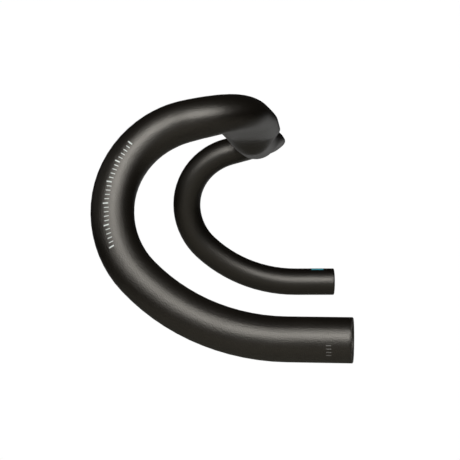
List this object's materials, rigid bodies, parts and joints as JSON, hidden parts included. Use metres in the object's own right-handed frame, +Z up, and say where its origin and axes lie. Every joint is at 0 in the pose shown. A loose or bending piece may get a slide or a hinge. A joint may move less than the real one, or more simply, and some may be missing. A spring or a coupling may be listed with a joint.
{
  "type": "flared drop handlebar",
  "caption": "Flared aluminium drop handlebar for gravel riding: round stem clamp, flattened tops, short-reach hooks that lean outwards, and open level bar ends.",
  "frame": {"origin": "centre of the stem clamp, on the axis of the tube", "axes": "+X to the rider's left along the clamp, +Y to the rear of the bicycle, +Z up with the drops level"},
  "size_m": [0.529, 0.1424, 0.1467],
  "materials": {
    "anodised_aluminium": "bead-blasted and black anodised, satin"
  },
  "bodies": {
    "root": {"handlebar": "anodised_aluminium"}
  },
  "joints": []
}
